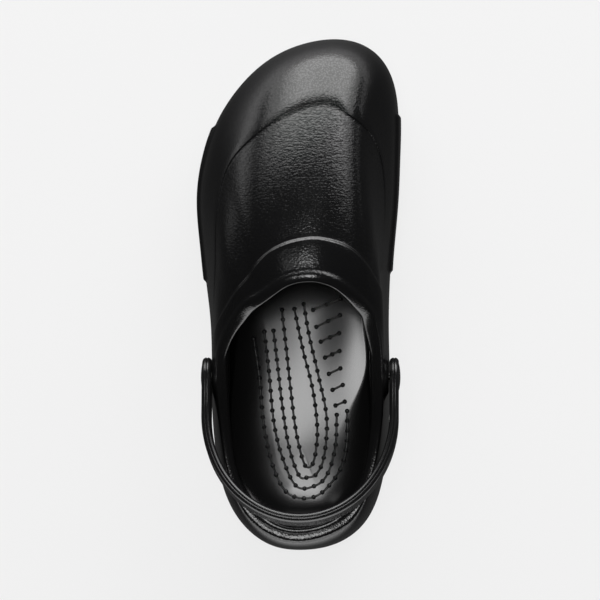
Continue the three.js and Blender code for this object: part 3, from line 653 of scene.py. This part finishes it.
def shell_mesh():
    """The whole shell as one closed surface, with what its material reads at each point."""
    u = places_round()
    sections = Sections(u)
    level = np.ones(len(u))
    cap, cap_half = sections.cap, sections.cap_half
    band, band_half = sections.band, sections.band_half
    bead, bead_half = sections.bead, sections.bead_half
    anchors = [
        0 * level, 1 * level, (PANEL_LOW - PANEL_EDGE) * level, (PANEL_LOW + PANEL_EDGE) * level,
        (PANEL_HIGH - PANEL_EDGE) * level, (PANEL_HIGH + PANEL_EDGE) * level,
        cap - cap_half, cap + cap_half, band - band_half, band + band_half,
        bead - bead_half, bead + bead_half, CREST_ROW * level,
    ]
    rows = rows_between(anchors, OUTSIDE_STEPS)
    outside = padded(sections.point(rows) + sections.normal(rows) * relief(sections, rows)[..., None])

    share = ring_value("wall", u)[:, None]
    wall = lerp(VAMP_WALL, SIDE_WALL, share)[..., None]
    cup_row = ring_value("cup", u)
    inner_rows = rows_between([sections.lip, cup_row], (INSIDE_STEPS,))
    heel = smooth(0.33 * LENGTH, 0.45 * LENGTH, -plan_point(u, "footAlong", "footOut")[:, 1])
    lean = HEEL_LEAN * heel[:, None] * smooth(CREST_ROW, CREST_ROW - 2, inner_rows)
    inside = sections.point(inner_rows) - sections.normal(inner_rows) * (wall + lean[..., None])
    crest = outside[:, -1]
    crest_in = np.column_stack([inward(u, "crestAlong", "crestOut"), np.zeros(len(u))])
    under = inside[:, 0]
    lip = lip_rings(crest, crest_in, under, LIP_REACH * ring_value("lipReach", u)[:, None])

    start = inside[:, -1]
    foot_in = inward(u, "footAlong", "footOut")
    edge = start.copy()
    edge[:, :2] += foot_in * (ring_value("cupReach", u) * CUP_ROUND)[:, None]
    edge[:, 2] = footbed(edge[:, 0], edge[:, 1], 1)
    corner = np.column_stack([start[:, :2], edge[:, 2] + CUP_LIFT])
    cup = [bezier((start, corner, edge), share) for share in np.arange(1, CUP_STEPS + 1) / CUP_STEPS]

    tread = closing_rings(outside[:, 0], TREAD_SHARES, lambda x, y, share: ground(y))
    bed = closing_rings(edge, BED_SHARES, footbed)
    outer_rings = list(outside.transpose(1, 0, 2))
    inner_rings = list(inside.transpose(1, 0, 2))
    rings = [*tread, *outer_rings, *lip, *inner_rings, *cup, *bed]

    # What the material reads: 1 on the vamp between the cap's line and the band, and 1 inside the shoe
    past_cap = smooth(cap[:, None] - cap_half[:, None], cap[:, None] + cap_half[:, None], rows)
    past_band = smooth(band[:, None] - 4 * band_half[:, None], band[:, None] - band_half[:, None], rows)
    none = [np.zeros(len(u))]
    lip_share = [np.full(len(u), share) for share in np.arange(1, LIP_RINGS + 1) / (LIP_RINGS + 1)]
    after = len(inner_rings) + len(cup) + len(bed)
    vamp = none * len(tread) + list((past_cap * (1 - past_band)).T) + none * (LIP_RINGS + after)
    inner = none * (len(tread) + len(outer_rings)) + lip_share + [np.ones(len(u))] * after
    attributes = {"vamp": np.concatenate(vamp), "inner": np.concatenate(inner)}
    return rings_mesh("clog_shell", rings, attributes=attributes), outside[:, 0]


# The strap


def strap_place(out, back, up):
    cos, sin = math.cos(STRAP_TILT), math.sin(STRAP_TILT)
    return np.stack(
        [
            STRAP_CENTRE_OUT + out,
            PIVOT_ALONG - back * cos + up * sin,
            PIVOT_UP + back * sin + up * cos,
        ],
        axis=-1,
    )


def strap_path():
    """The band's middle line: places along it, with the way it faces."""
    half_span = STRAP_HALF_SPAN - STRAP_THICKNESS / 2
    bend = STRAP_REACH - STRAP_STRAIGHT - STRAP_THICKNESS / 2
    arm = np.linspace(-STRAP_LOBE_RADIUS, STRAP_STRAIGHT, 60)[:-1]
    turn = np.linspace(0, math.pi, 400)
    back = np.concatenate([arm, STRAP_STRAIGHT + bend * np.sin(turn), arm[::-1]])
    level = np.ones(len(arm))
    out = np.concatenate([half_span * level, half_span * np.cos(turn), -half_span * level])
    bend_facing = np.arctan2(half_span * np.sin(turn), bend * np.cos(turn))
    facing = np.concatenate([0 * level, bend_facing, math.pi * level])
    steps = np.hypot(np.diff(out), np.diff(back))
    run = np.concatenate([[0], np.cumsum(steps)]) - STRAP_LOBE_RADIUS
    return run, out, back, facing


def strap_mesh():
    run, out, back, facing = strap_path()
    end = run[-1] - STRAP_LOBE_RADIUS
    lobe_turns = np.radians(np.linspace(0, 90, 13))
    arms = np.linspace(0, STRAP_STRAIGHT, 13)[1:]
    middle = np.linspace(STRAP_STRAIGHT, end - STRAP_STRAIGHT, 121)[1:-1]
    band = STRAP_WIDTH / 2

    def outline(inset):
        """The flat band's outline, less an inset, once round from the medial lobe's tip."""
        radius = np.maximum(STRAP_LOBE_RADIUS - inset, 0.0)
        tip = np.column_stack([-radius * np.cos(lobe_turns), radius * np.sin(lobe_turns)])
        width = lerp(STRAP_LOBE_RADIUS, band, smooth(0, 1, arms / STRAP_STRAIGHT)) - inset
        arm = np.column_stack([arms, width])
        straight = np.column_stack([middle, np.full(len(middle), band - inset)])
        arm_far = np.column_stack([end - arms[::-1], width[::-1]])
        far_turns = lobe_turns[::-1]
        tip_far = np.column_stack([end + radius * np.cos(far_turns), radius * np.sin(far_turns)])
        upper = np.concatenate([tip, arm, straight, arm_far, tip_far])
        upper[:, 1] = np.maximum(upper[:, 1], 0)
        lower = upper[1:-1][::-1] * [1, -1]
        return np.concatenate([upper, lower])

    def ring_at(inset, depth, flatten=1.0):
        flat = outline(inset)
        s, w = flat[:, 0], flat[:, 1] * flatten
        o = np.interp(s, run, out)
        b = np.interp(s, run, back)
        f = np.interp(s, run, facing)
        return strap_place(o + depth * np.cos(f), b + depth * np.sin(f), w)

    half = STRAP_THICKNESS / 2
    edge = [
        (1.9, 1.0), (1.25, 0.93), (0.75, 0.8), (0.38, 0.63), (0.15, 0.46), (0.03, 0.33), (0, 0.25),
        (0.04, 0.16), (0.16, 0.09), (0.36, 0.03), (0.42, 0),
    ]
    profile = [(inset, depth * half) for inset, depth in edge]
    profile += [(inset, -depth) for inset, depth in profile[-2::-1]]
    rings = [ring_at(1.9, half, flatten) for flatten in (0, 0.3, 0.6, 0.85)]
    rings += [ring_at(inset, depth) for inset, depth in profile]
    rings += [ring_at(1.9, -half, flatten) for flatten in (0.85, 0.6, 0.3, 0)]
    return rings_mesh("strap", rings[::-1])


def strap_seats():
    cutters = []
    for sign in (1, -1):
        face = strap_outer_face(sign)
        inner = face - sign * STRAP_THICKNESS
        start = face + sign * PAST_STRAP
        cutters.append(bore_mesh(POST_RADIUS + CLEARANCE, start, inner - sign * PAST_STRAP))
        seat = face - sign * (HEAD_THICKNESS + CLEARANCE)
        cutters.append(bore_mesh(HEAD_RADIUS + CLEARANCE, start, seat))
    return cutters


# The rivets


def rivet_head_profile():
    to_washer = HEAD_THICKNESS + CLEARANCE
    post = STRAP_THICKNESS - to_washer + PAD_GAP + RIVET_GRIP + CLEARANCE + WASHER_THICKNESS
    bevel = 0.35
    profile = [
        (0, -post), (POST_RADIUS, -post), (POST_RADIUS, 0), (HEAD_RADIUS - 0.1, 0), (HEAD_RADIUS, 0.1),
    ]
    for turn in np.radians((0, 30, 60, 90)):
        radius = HEAD_RADIUS - bevel + bevel * math.cos(turn)
        profile.append((radius, HEAD_THICKNESS - bevel + bevel * math.sin(turn)))
    for share in (0.85, 0.7, 0.55, 0.4, 0.25, 0.12, 0):
        profile.append((HEAD_RADIUS * share, HEAD_THICKNESS + HEAD_DOME * (1 - share * share)))
    return profile


def rivet_washer_profile():
    hole = POST_RADIUS + CLEARANCE
    bevel = 0.4
    return [
        (hole, 0), (WASHER_RADIUS, 0), (WASHER_RADIUS, WASHER_THICKNESS - bevel),
        (WASHER_RADIUS - bevel, WASHER_THICKNESS), (hole, WASHER_THICKNESS), (hole, 0),
    ]


# The footbed's relief


def smooth_path(points, pitch):
    """Points a pitch apart along the smooth curve through given points."""
    points = np.array(points, float)
    padded_points = np.concatenate([[2 * points[0] - points[1]], points, [2 * points[-1] - points[-2]]])
    fine = []
    for i in range(len(points) - 1):
        p0, p1, p2, p3 = padded_points[i : i + 4]
        for t in np.arange(0, 1, 0.05):
            fine.append(
                0.5 * (2 * p1 + (p2 - p0) * t + (2 * p0 - 5 * p1 + 4 * p2 - p3) * t**2
                       + (3 * p1 - p0 - 3 * p2 + p3) * t**3)
            )
    fine = np.array([*fine, points[-1]])
    run = np.concatenate([[0], np.cumsum(np.linalg.norm(np.diff(fine, axis=0), axis=1))])
    count = max(int(round(run[-1] / pitch)), 1)
    marks = np.linspace(0, run[-1], count + 1)
    return np.column_stack([np.interp(marks, run, fine[:, 0]), np.interp(marks, run, fine[:, 1])])


def relief_mesh(shell):
    """Nubs and the thin ribs that join them, seated on the footbed."""
    corners = [vertex.co.copy() for vertex in shell.vertices]
    tree = BVHTree.FromPolygons(corners, [face.vertices for face in shell.polygons])

    def seat(x, y):
        hit = tree.ray_cast(Vector((x * MM, y * MM, 45 * MM)), Vector((0, 0, -1)))
        return hit[0].z / MM

    vertices, faces = [], []

    def add_nub(x, y):
        z = seat(x, y)
        base = len(vertices)
        sides = 14
        levels = [(1.12, -0.3), (1.05, 0.02), (0.9, 0.38), (0.62, 0.76), (0.3, 0.95)]
        for radius, height in levels:
            for i in range(sides):
                angle = 2 * math.pi * i / sides
                vertices.append(
                    (x + NUB_RADIUS * radius * math.cos(angle), y + NUB_RADIUS * radius * math.sin(angle),
                     z + NUB_HEIGHT * height)
                )
        vertices.append((x, y, z + NUB_HEIGHT))
        vertices.append((x, y, z - NUB_HEIGHT * 0.3))
        top, bottom = base + sides * len(levels), base + sides * len(levels) + 1
        for r in range(len(levels) - 1):
            for i in range(sides):
                j = (i + 1) % sides
                a, b = base + r * sides, base + (r + 1) * sides
                faces.append((a + i, a + j, b + j, b + i))
        last = base + (len(levels) - 1) * sides
        for i in range(sides):
            j = (i + 1) % sides
            faces.append((last + i, last + j, top))
            faces.append((base + j, base + i, bottom))

    def add_rib(path):
        base = len(vertices)
        ahead = unit(np.gradient(path, axis=0))
        section = [(-1.25, -0.4), (-1, 0.1), (-0.6, 0.72), (0, 1), (0.6, 0.72), (1, 0.1), (1.25, -0.4)]
        for (x, y), (dx, dy) in zip(path, ahead):
            z = seat(x, y)
            for across, up in section:
                aside = across * RIB_HALF
                vertices.append((x + dy * aside, y - dx * aside, z + up * RIB_HEIGHT))
        n = len(section)
        for r in range(len(path) - 1):
            for i in range(n):
                j = (i + 1) % n
                a, b = base + r * n, base + (r + 1) * n
                faces.append((a + i, a + j, b + j, b + i))
        faces.append(tuple(base + i for i in reversed(range(n))))
        last = base + (len(path) - 1) * n
        faces.append(tuple(last + i for i in range(n)))

    for loop in NUB_LOOPS:
        marks = smooth_path(loop, NUB_PITCH)
        for x, y in marks:
            add_nub(x, y)
        add_rib(smooth_path(loop, 1.3))
    for start, end in NUB_BARS:
        length = math.dist(start, end)
        count = 2 if length > 8 else 1
        for i in range(count + 1):
            add_nub(*(lerp(a, b, i / count) for a, b in zip(start, end)))
        add_rib(smooth_path([start, end], 1.3))

    mesh = bpy.data.meshes.new("footbed_relief")
    mesh.from_pydata([[c * MM for c in v] for v in vertices], [], faces)
    shape = bmesh.new()
    shape.from_mesh(mesh)
    bmesh.ops.recalc_face_normals(shape, faces=shape.faces)
    shape.to_mesh(mesh)
    shape.free()
    mesh.shade_smooth()
    return mesh


# Materials


def material(name, colour, roughness, specular=0.5):
    made = bpy.data.materials.new(name)
    made.use_nodes = True
    shader = made.node_tree.nodes["Principled BSDF"]
    shader.inputs["Base Color"].default_value = (*colour, 1)
    shader.inputs["Roughness"].default_value = roughness
    shader.inputs["Specular IOR Level"].default_value = specular
    return made, made.node_tree, shader


def node(tree, kind, **values):
    made = tree.nodes.new(kind)
    for name, value in values.items():
        if name in made.inputs:
            made.inputs[name].default_value = value
        else:
            setattr(made, name, value)
    return made


def scaled_coordinates(tree, scale):
    coords = tree.nodes.new("ShaderNodeTexCoord")
    mapping = tree.nodes.new("ShaderNodeMapping")
    mapping.inputs["Scale"].default_value = scale
    tree.links.new(coords.outputs["Object"], mapping.inputs["Vector"])
    return mapping.outputs["Vector"]


def math_node(tree, operation, first, second=None, third=None):
    made = tree.nodes.new("ShaderNodeMath")
    made.operation = operation
    for i, value in enumerate((first, second, third)):
        if value is None:
            continue
        if isinstance(value, (int, float)):
            made.inputs[i].default_value = value
        else:
            tree.links.new(value, made.inputs[i])
    return made.outputs[0]


def map_range(tree, value, source, target):
    """A smooth ramp of a value from one range to another."""
    made = tree.nodes.new("ShaderNodeMapRange")
    made.interpolation_type = "SMOOTHSTEP"
    for label, number in zip(("From Min", "From Max", "To Min", "To Max"), (*source, *target)):
        made.inputs[label].default_value = number
    tree.links.new(value, made.inputs["Value"])
    return made.outputs["Result"]


def attribute(tree, name):
    made = tree.nodes.new("ShaderNodeAttribute")
    made.attribute_name = name
    return made.outputs["Fac"]


PEBBLES_PER_METRE = 1100
WRINKLES_PER_METRE = (420, 980, 700)
PEBBLE_HEIGHT = 0.1
WRINKLE_HEIGHT = 0.22


def shell_material():
    """Black foam: fine pebbles all over the outside, wrinkled grain on the vamp, smooth inside, and
    painted shade in the creases and between the pebbles.
    """
    made, tree, shader = material("foam", (0.0045, 0.0045, 0.0047), 0.16)
    inner = attribute(tree, "inner")

    pebbles = node(tree, "ShaderNodeTexVoronoi", feature="SMOOTH_F1")
    pebbles.inputs["Scale"].default_value = PEBBLES_PER_METRE
    tree.links.new(scaled_coordinates(tree, (1, 1, 1)), pebbles.inputs["Vector"])
    wrinkles = node(tree, "ShaderNodeTexNoise")
    wrinkles.inputs["Scale"].default_value = 1
    wrinkles.inputs["Detail"].default_value = 3
    wrinkles.inputs["Roughness"].default_value = 0.55
    tree.links.new(scaled_coordinates(tree, WRINKLES_PER_METRE), wrinkles.inputs["Vector"])

    outer = math_node(tree, "SUBTRACT", 1, inner)
    fine_height = math_node(tree, "MULTIPLY", pebbles.outputs["Distance"], PEBBLE_HEIGHT)
    fold = wrinkles.outputs["Fac"]
    coarse_height = math_node(tree, "MULTIPLY_ADD", fold, WRINKLE_HEIGHT, -WRINKLE_HEIGHT / 2)
    coarse_share = attribute(tree, "vamp")
    coarse = math_node(tree, "MULTIPLY", coarse_height, coarse_share)
    height = math_node(tree, "MULTIPLY", math_node(tree, "ADD", fine_height, coarse), outer)
    # Painted shade: creases and the gaps between pebbles get less specular, standing in for the shade of
    # their being half hidden
    painted_crease_shade = map_range(tree, fold, (0.36, 0.54), (0.36, 0))
    painted_gap_shade = map_range(tree, pebbles.outputs["Distance"], (0.15, 0.6), (0, 0.3))
    painted_shade = math_node(tree, "MULTIPLY_ADD", painted_crease_shade, coarse_share, painted_gap_shade)
    shown = math_node(tree, "MULTIPLY_ADD", math_node(tree, "MULTIPLY", painted_shade, outer), -0.5, 0.5)
    tree.links.new(shown, shader.inputs["Specular IOR Level"])
    bump = tree.nodes.new("ShaderNodeBump")
    bump.inputs["Distance"].default_value = 0.001
    bump.inputs["Strength"].default_value = 0.7
    tree.links.new(height, bump.inputs["Height"])
    tree.links.new(bump.outputs["Normal"], shader.inputs["Normal"])
    return made


def smooth_foam_material():
    made, tree, shader = material("strap_foam", (0.0065, 0.0065, 0.0068), 0.22)
    grain = node(tree, "ShaderNodeTexNoise")
    grain.inputs["Scale"].default_value = 900
    tree.links.new(scaled_coordinates(tree, (1, 1, 1)), grain.inputs["Vector"])
    bump = tree.nodes.new("ShaderNodeBump")
    bump.inputs["Distance"].default_value = 0.00004
    bump.inputs["Strength"].default_value = 0.6
    tree.links.new(grain.outputs["Fac"], bump.inputs["Height"])
    tree.links.new(bump.outputs["Normal"], shader.inputs["Normal"])
    return made


def rivet_material():
    made, _, _ = material("rivet_plastic", (0.0065, 0.0065, 0.0068), 0.25)
    return made


def relief_material():
    made, _, _ = material("relief_foam", (0.006, 0.006, 0.0063), 0.3)
    return made


# Camera, floor and light

CAMERA_HEIGHT = 1800.0
FRAME_WIDTH = 346.56
FRONT_ROLL = -7
LIT_POINT = (0, 0.02, 0.08)
WORLD = 0.03

# The floor's white to the camera, and its glow near the shoe, ahead, behind and past the sides
FLOOR_HALF = 3.0
FLOOR_WHITE = 0.78
GLOW_NEAR = 0.05
GLOW_SLANT = -0.2
GLOW_FRONT = (0.12, 0.45)
GLOW_FRONT_FULL = 1.6
GLOW_REAR = (-0.26, -0.16)
GLOW_REAR_FULL = 2.0
GLOW_ASIDE = (2.4, 3.6)

# Angles in degrees, distances and sizes in metres
LIGHT_COLUMNS = ("name", "toward", "around", "distance", "size", "radiance", "roll")
LIGHTS = [
    ("overhead_core", 4, 60, 2.1, (0.42, 0.5), 6, 0),
    ("overhead_edge", 4, 60, 2.2, (0.6, 0.74), 5, 0),
    ("front_core", 68.5, -4, 1.6, (1.8, 1.22), 1.9, FRONT_ROLL),
    ("front_middle", 68.5, -5, 1.65, (2.6, 1.34), 2.3, FRONT_ROLL),
    ("front_edge", 68.5, -5, 1.7, (4.1, 1.44), 2.3, FRONT_ROLL),
    ("front_lateral", 90, 60, 1.8, (0.6, 0.8), 0.8, 0),
    ("front_patch", 28, 5, 1.6, (0.42, 0.12), 0.5, 0),
    ("side_patch", 22, 62, 1.6, (0.2, 0.2), 1.2, 0),
    ("rear_core", 86, 176, 1.6, (1.6, 0.9), 1.6, 0),
    ("rear_edge", 86, 176, 1.7, (3.2, 1.2), 2.4, 0),
]
CAMERA_SIDE = 61.8
CAMERA_ALONG = -3.0


def add_camera():
    """Looks down on the one shoe from where the photographer stood over the pair."""
    camera = bpy.data.cameras.new("camera")
    obj = add_object("camera", camera)
    eye = Vector((CAMERA_SIDE, CAMERA_ALONG, CAMERA_HEIGHT)) * MM
    target = Vector((0, CAMERA_ALONG, 0)) * MM
    back = (eye - target).normalized()
    right = Vector((0, 1, 0)).cross(back).normalized()
    up = back.cross(right)
    obj.rotation_mode = "QUATERNION"
    from_axes = [list(axis) for axis in zip(right, up, back)]
    obj.rotation_quaternion = Matrix(from_axes).to_quaternion()
    obj.location = eye
    camera.angle = 2 * math.atan(FRAME_WIDTH / 2 / CAMERA_HEIGHT)
    camera.clip_start = 0.05
    camera.clip_end = 50
    bpy.context.scene.camera = obj


def add_softbox(name, toward, around, distance, size, radiance, roll):
    """A soft box of even radiance, tipped by toward from the zenith to +Y and turned by around."""
    polar, azimuth = math.radians(toward), math.radians(around)
    level = math.sin(polar)
    direction = Vector((-math.sin(azimuth) * level, math.cos(azimuth) * level, math.cos(polar)))
    centre = Vector(LIT_POINT)
    light = bpy.data.lights.new(name, "AREA")
    light.shape = "RECTANGLE"
    light.size, light.size_y = size
    light.energy = radiance * math.pi * size[0] * size[1]
    obj = add_object(name, light)
    obj.location = centre + direction * distance
    obj.rotation_mode = "QUATERNION"
    turned = Quaternion((0, 0, 1), math.radians(roll))
    obj.rotation_quaternion = direction.to_track_quat("Z", "Y") @ turned
    obj.visible_camera = False
    return obj


def add_lights():
    """Boxes one behind another, so that each light fades toward its edges."""
    for row in LIGHTS:
        add_softbox(**dict(zip(LIGHT_COLUMNS, row)))
    world = bpy.data.worlds.new("studio")
    bpy.context.scene.world = world
    world.use_nodes = True
    background = world.node_tree.nodes["Background"]
    background.inputs["Color"].default_value = (1, 1, 1, 1)
    background.inputs["Strength"].default_value = WORLD


def add_floor():
    """A plain pale floor, lit from below as a light table; the shoe reflects only its far parts' glow."""
    mesh = bpy.data.meshes.new("floor")
    half = FLOOR_HALF
    corners = [(-half, -half, 0), (half, -half, 0), (half, half, 0), (-half, half, 0)]
    mesh.from_pydata(corners, [], [(0, 1, 2, 3)])
    floor = add_object("floor", mesh)
    made, tree, shader = material("floor", (0.1, 0.1, 0.1), 0.8, 0.1)
    shader.inputs["Emission Color"].default_value = (1, 1, 1, 1)
    shader.inputs["Emission Strength"].default_value = FLOOR_WHITE
    coords = tree.nodes.new("ShaderNodeTexCoord")
    axes = tree.nodes.new("ShaderNodeSeparateXYZ")
    tree.links.new(coords.outputs["Object"], axes.inputs["Vector"])
    x, y = axes.outputs["X"], axes.outputs["Y"]
    slanted = math_node(tree, "MULTIPLY_ADD", x, GLOW_SLANT, y)
    front = map_range(tree, slanted, GLOW_FRONT, (0, GLOW_FRONT_FULL))
    rear = map_range(tree, y, GLOW_REAR, (GLOW_REAR_FULL, 0))
    across = math_node(tree, "ABSOLUTE", x)
    aside = math_node(tree, "DIVIDE", across, math_node(tree, "ABSOLUTE", y))
    ahead = map_range(tree, aside, GLOW_ASIDE, (1, 0))
    glow = math_node(tree, "MULTIPLY_ADD", math_node(tree, "ADD", front, rear), ahead, GLOW_NEAR)
    dim = tree.nodes.new("ShaderNodeEmission")
    tree.links.new(glow, dim.inputs["Strength"])
    path = tree.nodes.new("ShaderNodeLightPath")
    mix = tree.nodes.new("ShaderNodeMixShader")
    tree.links.new(path.outputs["Is Camera Ray"], mix.inputs[0])
    tree.links.new(dim.outputs[0], mix.inputs[1])
    tree.links.new(shader.outputs[0], mix.inputs[2])
    tree.links.new(mix.outputs[0], tree.nodes["Material Output"].inputs["Surface"])
    mesh.materials.append(made)


def main():
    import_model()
    scene = bpy.context.scene
    scene.view_settings.view_transform = "Standard"
    add_camera()
    add_lights()
    add_floor()

    foam = shell_material()
    strap_foam = smooth_foam_material()
    plastic = rivet_material()
    relief_foam = relief_material()

    mesh, tread_edge = shell_mesh()
    shell = add_object("clog_shell", mesh)
    relief_piece = add_object("footbed_relief", relief_mesh(mesh))
    apply_difference(shell, groove_cutters(tread_edge) + rivet_seats())
    smooth_shading(shell.data, SHARP_ANGLE)
    shell.data.materials.clear()
    shell.data.materials.append(foam)
    relief_piece.data.materials.append(relief_foam)

    strap = add_object("strap", strap_mesh())
    apply_difference(strap, strap_seats())
    smooth_shading(strap.data, SHARP_ANGLE)
    strap.data.materials.clear()
    strap.data.materials.append(strap_foam)

    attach(shell, "root")
    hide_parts("upper_sole_shell")
    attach(relief_piece, "root")
    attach(strap, "root")
    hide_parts("heel_strap")
    for side, sign in (("medial", 1), ("lateral", -1)):
        name = "rivet_head_" + side
        head_origin = strap_outer_face(sign) - sign * HEAD_THICKNESS
        head = add_object(name, lathe_mesh(name, rivet_head_profile(), sign, head_origin))
        name = "rivet_back_" + side
        washer_origin = pad_face(sign) - sign * (RIVET_GRIP + CLEARANCE)
        washer = add_object(name, lathe_mesh(name, rivet_washer_profile(), -sign, washer_origin))
        for piece, solid in ((head, "rivet_cap_" + side), (washer, "rivet_washer_" + side)):
            smooth_shading(piece.data, RIVET_SHARP_ANGLE)
            piece.data.materials.append(plastic)
            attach(piece, "root")
            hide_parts(solid)


main()
